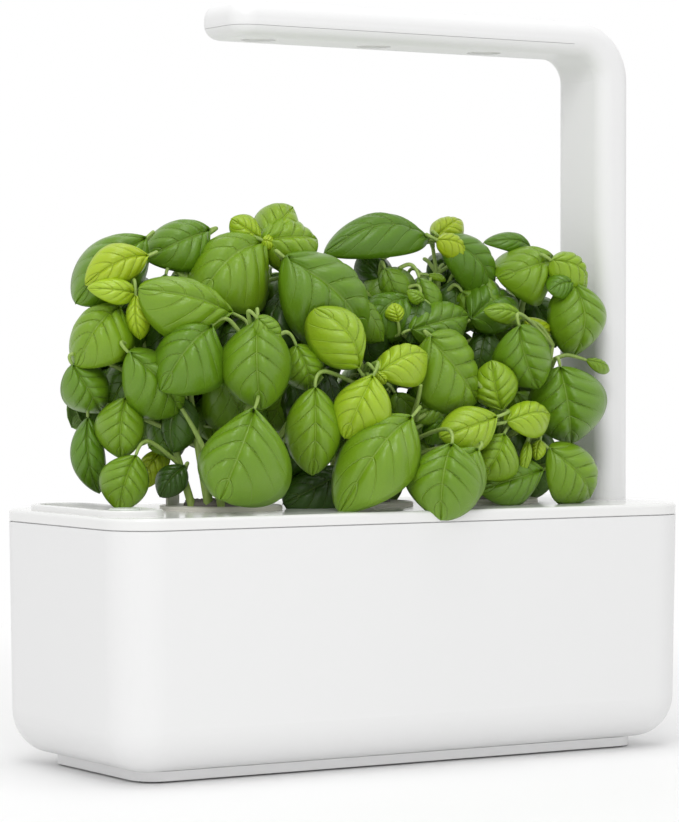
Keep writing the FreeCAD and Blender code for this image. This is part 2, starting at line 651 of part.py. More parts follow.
def make_wires(name, start, top):
    """Two straight wires up the middle of a section, to its socket's floor."""
    wires = []
    for side, y in (("front", "-Size.pin_spread"), ("back", "Size.pin_spread")):
        wires.append(cylinder("%s_wire_%s" % (name, side), "Size.wire_diameter",
                              "%s - %s" % (socket_floor_level(top), start), ARM_X, y, start))
    return as_part(grouped(name + "_wire_pair", wires), name + "_wires")


def make_extension(name, bottom):
    top = "(%s + Size.extension_length)" % bottom
    make_arm_shell(name, bottom, "Size.extension_length")
    make_plug(name, bottom, name + "_plug")
    make_pins(name, bottom)
    make_socket(name, top)
    make_wires(name, "(%s + Size.plug_seat + Size.pin_proud)" % bottom, top)


# Power inlet: a moulded jack behind the rear wall of the base leg
def make_inlet():
    level = "(%s + Size.inlet_height)" % LID_TOP
    inner_face = "(Size.arm_depth / 2 - Size.arm_wall - Size.jack_seat)"
    body = new_body("dc_jack")
    case = new_sketch(body, "jack_case", ARM_X, level, "-%s" % inner_face, role="XZ_Plane")
    rectangle(case, "Size.jack_width", "Size.jack_height")
    pad(body, case, "Size.jack_depth")
    nose = new_sketch(body, "jack_nose", ARM_X, level, "-%s" % inner_face, role="XZ_Plane")
    round_hole(nose, "Size.jack_nose")
    pad(body, nose, "Size.arm_wall + Size.jack_seat", down=True)
    bore = new_sketch(body, "jack_bore", ARM_X, level, "-Size.arm_depth / 2", role="XZ_Plane")
    round_hole(bore, "Size.jack_bore")
    pocket(body, bore, "Size.jack_bore_depth", up=True)
    as_part(body, "dc_jack")
    pin_body = new_body("dc_pin")
    pin = new_sketch(pin_body, "jack_pin", ARM_X, level,
                     "Size.jack_bore_depth - Size.arm_depth / 2", role="XZ_Plane")
    round_hole(pin, "Size.jack_pin")
    pad(pin_body, pin, "Size.jack_bore_depth - Size.arm_wall / 2", down=True)
    as_part(pin_body, "dc_pin")


def make_arm_base():
    make_arm_shell("arm_base", LID_TOP, "Size.base_leg", inlet=True)
    make_plug("arm_base", LID_TOP, "arm_base_spigot", pins=False)
    make_socket("arm_base", BASE_TOP)
    make_inlet()
    start = "(%s + Size.inlet_height + Size.jack_height / 2)" % LID_TOP
    make_wires("arm_base", start, BASE_TOP)


# Lamp head: an angled housing, with a flat cover below that holds the lights
def angled_form(name, inset):
    """The lamp's outside, or the same form drawn in by a wall."""
    right = "(%s + Size.arm_width / 2 - %s)" % (ARM_X, inset)
    left = "(%s - Size.arm_width / 2 + %s)" % (ARM_X, inset)
    top = "(%s - %s)" % (LAMP_TOP, inset)
    under = "(%s + %s)" % (LAMP_UNDER, inset)
    outer, inner = "(Size.elbow_outer - %s)" % inset, "(Size.elbow_inner + %s)" % inset
    length = "(Size.head_length - 2 * %s)" % inset
    body = new_body(name)
    sketch = new_sketch(body, name + "_side", role="XZ_Plane")
    x1, x0, z0 = amount(right), amount(left), amount(LAMP_BOTTOM)
    zt, zu, xe = amount(top), amount(under), amount(right) - amount(length)
    ro, ri = amount(outer), amount(inner)
    foot = line(sketch, (x0, z0), (x1, z0))
    outside = line(sketch, (x1, z0), (x1, zt - ro))
    crown = arc(sketch, (x1 - ro, zt - ro), ro, 0, 90)
    roof = line(sketch, (x1 - ro, zt), (xe, zt))
    nose = line(sketch, (xe, zt), (xe, zu))
    belly = line(sketch, (xe, zu), (x0 - ri, zu))
    crook = arc(sketch, (x0 - ri, zu - ri), ri, 0, 90)
    inside = line(sketch, (x0, zu - ri), (x0, z0))
    joined(sketch, "Coincident", (inside, 2, foot, 1), (foot, 2, outside, 1),
           (roof, 2, nose, 1), (nose, 2, belly, 1))
    joined(sketch, "Tangent", (outside, 2, crown, 1), (crown, 2, roof, 1),
           (belly, 2, crook, 2), (crook, 1, inside, 1))
    for flat in (foot, roof, belly):
        sketch.addConstraint(Sketcher.Constraint("Horizontal", flat))
    for wall in (outside, nose, inside):
        sketch.addConstraint(Sketcher.Constraint("Vertical", wall))
    bound(sketch, "Radius", (crown,), outer, "crown")
    bound(sketch, "Radius", (crook,), inner, "crook")
    bound(sketch, "DistanceX", (-1, 1, outside, 1), right, "right")
    bound(sketch, "DistanceX", (-1, 1, inside, 2), left, "left")
    bound(sketch, "DistanceX", (nose, 1, outside, 1), length, "reach")
    bound(sketch, "DistanceY", (-1, 1, foot, 1), LAMP_BOTTOM, "foot")
    bound(sketch, "DistanceY", (-1, 1, roof, 1), top, "roof")
    bound(sketch, "DistanceY", (-1, 1, belly, 1), under, "belly")
    slab = body.newObject("PartDesign::Pad", name + "_slab")
    slab.Profile = sketch
    slab.SideType = "Symmetric"
    slab.setExpression("Length", "Size.arm_depth - 2 * %s" % inset)
    doc.recompute()
    fillet(body, "Size.head_end_radius - %s" % inset,
           lambda edge: upright(edge) and edge.BoundBox.XMax < xe + 0.01)
    flank = amount("Size.arm_depth") / 2 - amount(inset) - 0.01
    low, end = z0 + 0.01, xe + 0.01

    def long_edge(edge):
        box = edge.BoundBox
        beside = box.YMin > flank or box.YMax < -flank
        level = abs(box.ZLength) < 0.01
        round_end = level and box.XMin < xe + amount("Size.head_end_radius") and box.ZMin > low
        return round_end or (beside and box.ZMax > low and not box.XMax < end)

    fillet(body, "Size.arm_radius - %s" % inset, long_edge)
    return body


def light_x(index):
    return "(Size.light_middle + %d * Size.light_pitch)" % index


BOARD_X = "Size.light_middle"
TIMER_X = "(%s - Size.arm_width / 2 - Size.elbow_inner - Size.timer_right)" % ARM_X
COVER_END = "(%s - Size.arm_width / 2 - Size.elbow_inner - Size.cover_end_margin)" % ARM_X
HEAD_END = "(%s + Size.arm_width / 2 - Size.head_length)" % ARM_X


def screw_places():
    return [(BOARD_X + " - Size.board_screw_spread / 2", "0"),
            (BOARD_X + " + Size.board_screw_spread / 2", "0"),
            (TIMER_X, "0")]


def cover_slab(name, height):
    """The band of the head that the cover takes up, from its underside."""
    feature = doc.addObject("Part::Box", name)
    feature.setExpression("Length", "%s - %s + 1" % (COVER_END, HEAD_END))
    feature.setExpression("Width", "Size.arm_depth + 2")
    feature.setExpression("Height", height + " + 1")
    feature.setExpression("Placement.Base.x", HEAD_END + " - 1")
    feature.setExpression("Placement.Base.y", "-Size.arm_depth / 2 - 1")
    feature.setExpression("Placement.Base.z", LAMP_UNDER + " - 1")
    return feature


def make_lamp_housing(form, cavity):
    notch = cover_slab("cover_notch", "Size.cover_height")
    shell = cut("lamp_shell", form, fused("lamp_hollow", [cavity, notch]))
    posts, holes = [], []
    for index, (x, y) in enumerate(screw_places(), start=1):
        post_height = "%s - Size.arm_wall - %s" % (LAMP_TOP, BOARD_TOP)
        posts.append(cylinder("board_post_%d" % index, "Size.post_diameter", post_height,
                              x, y, BOARD_TOP))
        holes.append(cylinder("board_post_hole_%d" % index, "Size.screw_diameter",
                              "Size.screw_length - Size.board_thickness", x, y, BOARD_TOP))
    solid = fused("lamp_shell_with_posts", [shell] + posts)
    housing = cut("lamp_housing_form", solid, grouped("board_post_holes", holes))
    return as_part(housing, "lamp_housing")


def make_lamp_cover(form, cavity):
    band = doc.addObject("Part::Common", "cover_band")
    band.Base = form
    band.Tool = cover_slab("cover_slab", "Size.cover_height - Size.cover_gap")
    openings = [cavity]
    for index in (-1, 0, 1):
        name = "light_opening_%d" % (index + 2)
        openings.append(cylinder(name, "Size.light_opening", "Size.arm_wall + 1",
                                 light_x(index), "0", LAMP_UNDER + " - 0.5"))
        openings.append(cylinder(name + "_seat", "Size.lens_diameter", "Size.arm_wall",
                                 light_x(index), "0", LAMP_UNDER + " + Size.lens_recess"))
    cover = cut("lamp_cover_form", band, fused("cover_openings", openings))
    return as_part(cover, "lamp_cover")


def make_lenses():
    for index in (-1, 0, 1):
        lens = cylinder("lens_disc_%d" % (index + 2), "Size.lens_diameter",
                        "Size.lens_thickness", light_x(index), "0",
                        LAMP_UNDER + " + Size.lens_recess")
        as_part(lens, "lens_%d" % (index + 2))


def make_led_board():
    board = block("led_plate", "Size.board_length", "Size.board_width",
                  "Size.board_thickness", BOARD_X, "0", BOARD_UNDER)
    holes = [cylinder("led_plate_hole_%d" % index, "Size.screw_diameter",
                      "Size.board_thickness", x, y, BOARD_UNDER)
             for index, (x, y) in enumerate(screw_places()[:2], start=1)]
    as_part(cut("led_board_form", board, grouped("led_plate_holes", holes)), "led_board")
    chips = []
    for index in (-1, 0, 1):
        for step in range(4):
            turn = "%d" % (90 * step + 45)
            x = "%s + Size.chip_ring * cos(%s deg)" % (light_x(index), turn)
            y = "(Size.chip_ring * sin(%s deg))" % turn
            chips.append(block("chip_%d_%d" % (index + 2, step + 1), "Size.chip_size",
                               "Size.chip_size", "Size.chip_height", x, y,
                               "%s - Size.chip_height" % BOARD_UNDER))
    as_part(grouped("chip_group", chips), "led_chips")


def make_timer():
    board = block("timer_plate", "Size.timer_length", "Size.timer_width",
                  "Size.board_thickness", TIMER_X, "0", BOARD_UNDER)
    x, y = screw_places()[2]
    hole = cylinder("timer_plate_hole", "Size.screw_diameter", "Size.board_thickness",
                    x, y, BOARD_UNDER)
    as_part(cut("timer_board_form", board, hole), "timer_board")
    driver = block("timer_driver", "Size.timer_length / 2", "Size.timer_width / 4",
                   "Size.chip_height * 2", TIMER_X, "-Size.timer_width / 3", BOARD_TOP)
    coil = cylinder("timer_coil", "Size.timer_width / 4", "Size.chip_height * 4", TIMER_X,
                    "Size.timer_width / 3", BOARD_TOP)
    as_part(grouped("timer_component_group", [driver, coil]), "timer_components")


def make_board_screws():
    screws = []
    for index, (x, y) in enumerate(screw_places(), start=1):
        shank = cylinder("board_screw_shank_%d" % index, "Size.screw_diameter",
                         "Size.screw_length", x, y, BOARD_UNDER)
        head = cylinder("board_screw_head_%d" % index, "Size.screw_head",
                        "Size.screw_head_height", x, y,
                        "%s - Size.screw_head_height" % BOARD_UNDER)
        screws.append(fused("board_screw_%d" % index, [shank, head]))
    return as_part(grouped("board_screw_group", screws), "board_screws")


def make_lamp_wires():
    """Two wires from the plug, round the elbow and along to the timer board."""
    radius = amount("Size.wire_diameter") / 2
    x = amount(ARM_X)
    z0 = amount("%s + %s + Size.pin_proud" % (LAMP_BOTTOM, LAMP_SEAT))
    z1 = amount(BOARD_UNDER + " + Size.board_thickness / 2")
    x1 = amount(TIMER_X + " + Size.timer_length / 2")
    bend = min(z1 - z0, x - x1) * 0.8
    tubes = []
    for side in (-1, 1):
        y = side * amount("Size.pin_spread")
        start, corner = Vector(x, y, z0), Vector(x, y, z1)
        rise, turned = corner - Vector(0, 0, bend), corner - Vector(bend, 0, 0)
        middle = corner + Vector(-bend, 0, -bend) + Vector(1, 0, 1).normalize() * bend
        path = Part.Wire([Part.LineSegment(start, rise).toShape(),
                          Part.Arc(rise, middle, turned).toShape(),
                          Part.LineSegment(turned, Vector(x1, y, z1)).toShape()])
        ring = Part.Wire([Part.Circle(start, Vector(0, 0, 1), radius).toShape()])
        tubes.append(path.makePipeShell([ring], True, False))
    feature = doc.addObject("Part::Feature", "lamp_wire_pair")
    feature.Shape = Part.Compound(tubes)
    feature.Placement = FreeCAD.Placement()
    return as_part(feature, "lamp_wires")


def make_lamp():
    form = angled_form("lamp_outside", "0")
    cavity = angled_form("lamp_inside", "Size.arm_wall")
    make_lamp_housing(form, cavity)
    make_lamp_cover(form, cavity)
    make_plug("lamp", LAMP_BOTTOM, "lamp_plug", seat_height=LAMP_SEAT)
    make_pins("lamp", LAMP_BOTTOM, seat_height=LAMP_SEAT)
    make_lenses()
    make_led_board()
    make_timer()
    make_board_screws()
    make_lamp_wires()


# The whole garden
make_water_tank()
make_base_foot()
make_anti_slip_pads()
make_lid_tray()
make_filler_collar()
make_float_guide()
make_arm_socket()
make_level_float()
for pod_number in (1, 2, 3):
    make_pod_cup(pod_number)
    make_pod_collar(pod_number)
    make_growing_medium(pod_number)
    make_wick(pod_number)
    make_basil(pod_number)
make_plant_marker()
make_arm_base()
make_extension("extension_lower", BASE_TOP)
make_extension("extension_upper", LOWER_TOP)
make_lamp()
doc.recompute()

# Nothing is written unless every object recomputed and every sub-part is sound
for item in doc.Objects:
    if "Invalid" in item.State or "Error" in item.State:
        raise ValueError("%s did not recompute: %s" % (item.Name, item.State))
for part in parts:
    if part.Shape.isNull() or not part.Shape.isValid() or not part.Shape.Solids:
        raise ValueError("%s has no sound solid" % part.Label)
os.makedirs("parts", exist_ok=True)
for part in parts:
    part.Shape.exportStep("parts/%s.step" % part.Label)
print("%d sub-parts written" % len(parts))
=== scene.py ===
import math
import random

import bpy
import numpy as np
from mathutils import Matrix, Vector


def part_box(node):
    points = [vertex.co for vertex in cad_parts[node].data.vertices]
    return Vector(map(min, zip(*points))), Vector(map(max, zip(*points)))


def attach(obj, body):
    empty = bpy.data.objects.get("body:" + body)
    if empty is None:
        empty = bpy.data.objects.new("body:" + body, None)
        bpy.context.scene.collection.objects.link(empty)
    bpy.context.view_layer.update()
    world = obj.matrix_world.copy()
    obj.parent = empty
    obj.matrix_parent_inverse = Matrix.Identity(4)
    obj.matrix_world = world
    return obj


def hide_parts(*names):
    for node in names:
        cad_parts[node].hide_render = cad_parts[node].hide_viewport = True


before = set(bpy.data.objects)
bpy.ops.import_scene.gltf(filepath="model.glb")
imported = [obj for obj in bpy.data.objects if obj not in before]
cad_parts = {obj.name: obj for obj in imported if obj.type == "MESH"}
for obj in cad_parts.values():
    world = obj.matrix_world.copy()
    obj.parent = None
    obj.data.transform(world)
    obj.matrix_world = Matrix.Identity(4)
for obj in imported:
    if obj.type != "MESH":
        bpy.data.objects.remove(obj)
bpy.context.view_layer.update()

MM = 0.001  # metres in a millimetre

# Camera: the photograph's view, from the left of the front and a little above the lid,
# with a long lens. Positions are in metres in the garden's own frame.
CAMERA_PLACE = Vector((-0.8079, -1.2851, 0.1845))
CAMERA_AIM = Vector((0.5295, 0.8480, -0.0176)).normalized()
FOCAL_PIXELS = 3311.8
FRAME_WIDTH, FRAME_HEIGHT = 679, 822
SENSOR_WIDTH = 36
camera = bpy.data.objects.new("camera", bpy.data.cameras.new("camera"))
bpy.context.scene.collection.objects.link(camera)
camera.data.sensor_width = SENSOR_WIDTH
camera.data.lens = FOCAL_PIXELS * SENSOR_WIDTH / FRAME_HEIGHT
camera.location = CAMERA_PLACE
camera.rotation_euler = CAMERA_AIM.to_track_quat("-Z", "Y").to_euler()
bpy.context.scene.camera = camera
bpy.context.scene.view_settings.view_transform = "Standard"
CAMERA_RIGHT = CAMERA_AIM.cross(Vector((0, 0, 1))).normalized()
CAMERA_UP = CAMERA_RIGHT.cross(CAMERA_AIM)


def at_pixel(column, row, depth):
    """The point that shows at a pixel of the photograph, at a given Y."""
    ray = (CAMERA_AIM * FOCAL_PIXELS + CAMERA_RIGHT * (column - FRAME_WIDTH / 2)
           - CAMERA_UP * (row - FRAME_HEIGHT / 2))
    return CAMERA_PLACE + ray * ((depth - CAMERA_PLACE.y) / ray.y)


# Studio: a pale floor that fades to white away from the garden, a soft white surround
# and two broad lights. None of it belongs to the garden.
def shader(name):
    """A new material, its nodes and links, and its Principled shader."""
    made = bpy.data.materials.new(name)
    made.use_nodes = True
    return made, made.node_tree.nodes, made.node_tree.links, made.node_tree.nodes["Principled BSDF"]


def new_object(name, mesh, *materials):
    """A piece in the scene, with its finishes in their slots."""
    piece = bpy.data.objects.new(name, mesh)
    bpy.context.scene.collection.objects.link(piece)
    for material in materials:
        piece.data.materials.append(material)
    return piece


def seen_directly(nodes, links):
    """1 for rays from the camera and for those a gloss or a glass passes on, else 0."""
    path = nodes.new("ShaderNodeLightPath")
    total = path.outputs["Is Camera Ray"]
    for name in ("Is Glossy Ray", "Is Transmission Ray"):
        add = nodes.new("ShaderNodeMath")
        add.operation = "MAXIMUM"
        links.new(total, add.inputs[0])
        links.new(path.outputs[name], add.inputs[1])
        total = add.outputs[0]
    return total


FLOOR_HALF = 4.0
FLOOR_TONE = (0.90, 0.90, 0.90, 1)
FADE_START, FADE_END = 0.16, 0.75  # metres from the middle, where the floor turns to white
floor_paint, nodes, links, paint = shader("floor_paint")
paint.inputs["Base Color"].default_value = FLOOR_TONE
paint.inputs["Roughness"].default_value = 0.6
place = nodes.new("ShaderNodeTexCoord")
reach = nodes.new("ShaderNodeVectorMath")
reach.operation = "LENGTH"
links.new(place.outputs["Object"], reach.inputs[0])
fade = nodes.new("ShaderNodeMapRange")
fade.interpolation_type = "SMOOTHSTEP"
fade.inputs["From Min"].default_value = FADE_START
fade.inputs["From Max"].default_value = FADE_END
links.new(reach.outputs["Value"], fade.inputs["Value"])
direct = nodes.new("ShaderNodeMath")
direct.operation = "MULTIPLY"
links.new(fade.outputs["Result"], direct.inputs[0])
links.new(seen_directly(nodes, links), direct.inputs[1])
glow = nodes.new("ShaderNodeEmission")
glow.inputs["Strength"].default_value = 1.0
blend = nodes.new("ShaderNodeMixShader")
links.new(direct.outputs[0], blend.inputs["Fac"])
links.new(paint.outputs[0], blend.inputs[1])
links.new(glow.outputs[0], blend.inputs[2])
links.new(blend.outputs[0], nodes["Material Output"].inputs["Surface"])
floor_mesh = bpy.data.meshes.new("floor")
corners = [(x * FLOOR_HALF, y * FLOOR_HALF, 0) for x, y in ((-1, -1), (1, -1), (1, 1), (-1, 1))]
floor_mesh.from_pydata(corners, [], [(0, 1, 2, 3)])
new_object("floor", floor_mesh, floor_paint)

SURROUND_LIGHT, SURROUND_SEEN = 0.73, 1.0  # its strength as a light, and as a backdrop
world = bpy.data.worlds.new("studio")
world.use_nodes = True
bpy.context.scene.world = world
nodes, links = world.node_tree.nodes, world.node_tree.links
surround = nodes["Background"]
surround.inputs["Color"].default_value = (1, 1, 1, 1)
level = nodes.new("ShaderNodeMapRange")
level.inputs["To Min"].default_value = SURROUND_LIGHT
level.inputs["To Max"].default_value = SURROUND_SEEN
links.new(seen_directly(nodes, links), level.inputs["Value"])
links.new(level.outputs["Result"], surround.inputs["Strength"])

LIGHT_AIM = Vector((0, 0, 0.15))
LIGHTS = {  # place, width in metres and watts
    "key": ((-0.80, -1.0, 1.2), 0.7, 7.5),
    "top": ((0.0, -0.1, 1.5), 0.7, 4.5)}
for name, (spot, width, power) in LIGHTS.items():
    lamp = bpy.data.objects.new(name + "_light", bpy.data.lights.new(name + "_light", "AREA"))
    bpy.context.scene.collection.objects.link(lamp)
    lamp.data.size = width
    lamp.data.energy = power
    lamp.location = spot
    lamp.rotation_euler = (LIGHT_AIM - lamp.location).to_track_quat("-Z", "Y").to_euler()


# Tank, foot and lid: injection-moulded white plastic. The tank and foot are satin with
# a fine mould grain, and the lid is polished. The CAD shapes are kept.
def node_group(name, inputs, outputs):
    """A shader group with named number inputs and named outputs, and its two end nodes."""
    group = bpy.data.node_groups.new(name, "ShaderNodeTree")
    for label, kind, value in inputs:
        socket = group.interface.new_socket(label, in_out="INPUT", socket_type="NodeSocket" + kind)
        socket.default_value = value
    for label, kind in outputs:
        group.interface.new_socket(label, in_out="OUTPUT", socket_type="NodeSocket" + kind)
    return group, group.nodes.new("NodeGroupInput"), group.nodes.new("NodeGroupOutput")


def math_node(tree, operation, first, second=None, third=None):
    """A Math node whose inputs are sockets or plain numbers."""
    node = tree.nodes.new("ShaderNodeMath")
    node.operation = operation
    for index, value in enumerate((first, second, third)):
        if isinstance(value, (int, float)):
            node.inputs[index].default_value = value
        elif value is not None:
            tree.links.new(value, node.inputs[index])
    return node.outputs[0]


def colour_mix(tree, factor, first, second):
    """A colour between two, each a socket or a plain colour."""
    node = tree.nodes.new("ShaderNodeMix")
    node.data_type = "RGBA"
    for name, value in (("Factor_Float", factor), ("A_Color", first), ("B_Color", second)):
        socket = next(item for item in node.inputs if item.identifier == name)
        if isinstance(value, (int, float, tuple)):
            socket.default_value = value
        else:
            tree.links.new(value, socket)
    return next(item for item in node.outputs if item.identifier == "Result_Color")


DULL_PATCH = (0.55, 0.55, 0.54, 1)
GLOSS_SPREAD = 0.12
GRAIN_HEIGHT = 0.0002


def moulded_group():
    """Mould grain, and slight unevenness of colour and gloss."""
    group, start, end = node_group(
        "moulded_surface",
        [("Colour", "Color", (0.8, 0.8, 0.8, 1)), ("Gloss", "Float", 0.4),
         ("Grain Size", "Float", 900.0), ("Unevenness", "Float", 0.03)],
        [("Color", "Color"), ("Roughness", "Float"), ("Height", "Float")])
    coordinates = group.nodes.new("ShaderNodeTexCoord")
    grain = group.nodes.new("ShaderNodeTexNoise")
    group.links.new(coordinates.outputs["Object"], grain.inputs["Vector"])
    group.links.new(start.outputs["Grain Size"], grain.inputs["Scale"])
    cloud = group.nodes.new("ShaderNodeTexNoise")
    cloud.inputs["Scale"].default_value = 9.0
    group.links.new(coordinates.outputs["Object"], cloud.inputs["Vector"])
    shade = math_node(group, "MULTIPLY", cloud.outputs["Fac"], start.outputs["Unevenness"])
    darker = colour_mix(group, shade, start.outputs["Colour"], DULL_PATCH)
    group.links.new(darker, end.inputs["Color"])
    spread = math_node(group, "SUBTRACT", cloud.outputs["Fac"], 0.5)
    gloss = math_node(group, "MULTIPLY_ADD", spread, GLOSS_SPREAD, start.outputs["Gloss"])
    group.links.new(gloss, end.inputs["Roughness"])
    group.links.new(grain.outputs["Fac"], end.inputs["Height"])
    return group


MOULDED = moulded_group()


def grouped_material(name, group, bump=0.0, height=0.0, **values):
    """A material whose colour, gloss and relief come from a shader group.

    values are the group's inputs, by name, with an underscore for each space.
    """
    made, nodes, links, principled = shader(name)
    surface = nodes.new("ShaderNodeGroup")
    surface.node_tree = group
    for label, value in values.items():
        surface.inputs[label.replace("_", " ")].default_value = value
    links.new(surface.outputs["Color"], principled.inputs["Base Color"])
    links.new(surface.outputs["Roughness"], principled.inputs["Roughness"])
    if bump:
        relief = nodes.new("ShaderNodeBump")
        relief.inputs["Strength"].default_value = bump
        relief.inputs["Distance"].default_value = height
        links.new(surface.outputs["Height"], relief.inputs["Height"])
        links.new(relief.outputs["Normal"], principled.inputs["Normal"])
    return made, principled.inputs


def moulded(name, colour, gloss, grain=900.0, uneven=0.03, bump=0.04, coat=0.0):
    """A moulded plastic or rubber finish."""
    made, inputs = grouped_material(name, MOULDED, bump, GRAIN_HEIGHT, Colour=(*colour, 1),
                                    Gloss=gloss, Grain_Size=grain, Unevenness=uneven)
    inputs["Coat Weight"].default_value = coat
    inputs["Coat Roughness"].default_value = 0.08
    return made


def finish(material, *names):
    """Gives CAD nodes a finish."""
    for name in names:
        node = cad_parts[name]
        node.data.materials.clear()
        node.data.materials.append(material)


finish(moulded("tank_white", (0.84, 0.84, 0.84), 0.42), "water_tank")
finish(moulded("foot_white", (0.93, 0.93, 0.93), 0.5), "base_foot")
finish(moulded("lid_white", (0.84, 0.84, 0.83), 0.2, bump=0.01, coat=0.35), "lid_tray",
       "filler_collar")
finish(moulded("inner_white", (0.78, 0.78, 0.77), 0.5), "float_guide", "arm_socket")
finish(moulded("pad_rubber", (0.22, 0.22, 0.22), 0.75, grain=500.0, bump=0.2), "anti_slip_pads")


# Level float: a white foam ring with a coarse grain on a moulded stalk. The stalk's pale
# grey-green cap shows in the lid's collar and rises with the water.
finish(moulded("float_foam", (0.86, 0.86, 0.85), 0.8, grain=350.0, bump=0.5), "float_body")
finish(moulded("float_plastic", (0.70, 0.74, 0.70), 0.4), "float_rod", "float_cap")


# Lamp arm and head: satin white moulded tubes that plug together, and the head's cover.
# The plugs and sockets glued inside them are duller, the power inlet is black, and the
# wires between the brass contacts are red.
finish(moulded("arm_white", (0.84, 0.84, 0.84), 0.38), "arm_base_shell",
       "extension_lower_shell", "extension_upper_shell", "lamp_housing", "lamp_cover")
finish(moulded("plug_white", (0.74, 0.74, 0.73), 0.5), "arm_base_spigot", "arm_base_socket",
       "extension_lower_plug", "extension_lower_socket", "extension_upper_plug",
       "extension_upper_socket", "lamp_plug")
finish(moulded("inlet_black", (0.03, 0.03, 0.03), 0.45), "dc_jack", "timer_components")
finish(moulded("wire_red", (0.45, 0.03, 0.02), 0.5), "arm_base_wires", "extension_lower_wires",
       "extension_upper_wires", "lamp_wires")


def stretched_noise(tree, scale):
    """Noise drawn out along Z."""
    coordinates = tree.nodes.new("ShaderNodeTexCoord")
    stretch = tree.nodes.new("ShaderNodeMapping")
    stretch.inputs["Scale"].default_value = scale
    noise = tree.nodes.new("ShaderNodeTexNoise")
    noise.inputs["Scale"].default_value = 1.0
    tree.links.new(coordinates.outputs["Object"], stretch.inputs["Vector"])
    tree.links.new(stretch.outputs["Vector"], noise.inputs["Vector"])
    return noise.outputs["Fac"]


BRUSHED_SCALE, BRUSHED_SPREAD = (4000, 4000, 200), 0.15


def metal(name, colour, gloss):
    """A machined metal with a faint brushed grain along Z."""
    made, nodes, links, principled = shader(name)
    brushed = stretched_noise(made.node_tree, BRUSHED_SCALE)
    rough = math_node(made.node_tree, "MULTIPLY_ADD", brushed, BRUSHED_SPREAD, gloss)
    links.new(rough, principled.inputs["Roughness"])
    principled.inputs["Base Color"].default_value = (*colour, 1)
    principled.inputs["Metallic"].default_value = 1.0
    return made


finish(metal("contact_brass", (0.70, 0.52, 0.22), 0.2), "dc_pin", "lamp_contact_pins",
       "extension_lower_contact_pins", "extension_upper_contact_pins")
finish(metal("screw_steel", (0.55, 0.55, 0.56), 0.25), "board_screws")


# Grow lights: three frosted plastic lenses in openings of the head's cover. Behind them a
# white circuit board carries yellow LED packages, and a second board holds the timer.
def frosted(name):
    """A milky plastic that light sinks into a little."""
    made, inputs = grouped_material(name, MOULDED, Colour=(0.72, 0.72, 0.70, 1), Gloss=0.3)
    inputs["Subsurface Weight"].default_value = 0.2
    inputs["Subsurface Radius"].default_value = (0.002, 0.002, 0.002)
    return made


finish(frosted("lens_frosted"), "lens_1", "lens_2", "lens_3")
finish(moulded("board_white", (0.80, 0.80, 0.78), 0.35), "led_board", "timer_board")
finish(moulded("led_yellow", (0.80, 0.60, 0.12), 0.3), "led_chips")


# Pods: a beige moulded collar over a net cup filled with crumbly growing medium, with a
# felt wick hanging down into the water. Loose crumbs cover the top of the medium.
finish(moulded("collar_beige", (0.76, 0.73, 0.65), 0.5, grain=600.0, uneven=0.15),
       "pod_collar_1", "pod_collar_2", "pod_collar_3")
finish(moulded("cup_beige", (0.58, 0.54, 0.45), 0.55), "pod_cup_1", "pod_cup_2", "pod_cup_3")
finish(moulded("wick_felt", (0.75, 0.73, 0.66), 0.9, grain=1500.0, uneven=0.2, bump=0.8),
       "wick_1", "wick_2", "wick_3")
finish(moulded("marker_grey", (0.80, 0.78, 0.72), 0.55, uneven=0.15), "plant_marker")
soil = moulded("medium_brown", (0.045, 0.022, 0.012), 0.9, grain=700.0, uneven=0.5, bump=1.0)
finish(soil, "growing_medium_1", "growing_medium_2", "growing_medium_3")


def geometry_tree(name, inputs):
    """A Geometry Nodes tree with named number inputs and a material, and its first node."""
    tree = bpy.data.node_groups.new(name, "GeometryNodeTree")
    sockets = tree.interface
    sockets.new_socket("Geometry", in_out="INPUT", socket_type="NodeSocketGeometry")
    for label, kind, value in inputs:
        socket = sockets.new_socket(label, in_out="INPUT", socket_type="NodeSocket" + kind)
        socket.default_value = value
    sockets.new_socket("Material", in_out="INPUT", socket_type="NodeSocketMaterial")
    sockets.new_socket("Geometry", in_out="OUTPUT", socket_type="NodeSocketGeometry")
    return tree, tree.nodes.new("NodeGroupInput")


def end_tree(tree, start, geometry):
    """Ends a tree: instances are made real and get the material."""
    real = tree.nodes.new("GeometryNodeRealizeInstances")
    painted = tree.nodes.new("GeometryNodeSetMaterial")
    tree.links.new(geometry, real.inputs["Geometry"])
    tree.links.new(real.outputs["Geometry"], painted.inputs["Geometry"])
    tree.links.new(start.outputs["Material"], painted.inputs["Material"])
    end = tree.nodes.new("NodeGroupOutput")
    tree.links.new(painted.outputs["Geometry"], end.inputs["Geometry"])


SMALLEST_CRUMB, LARGEST_CRUMB = (0.5, 0.4, 0.3), (1.5, 1.2, 1.0)  # times the crumb size


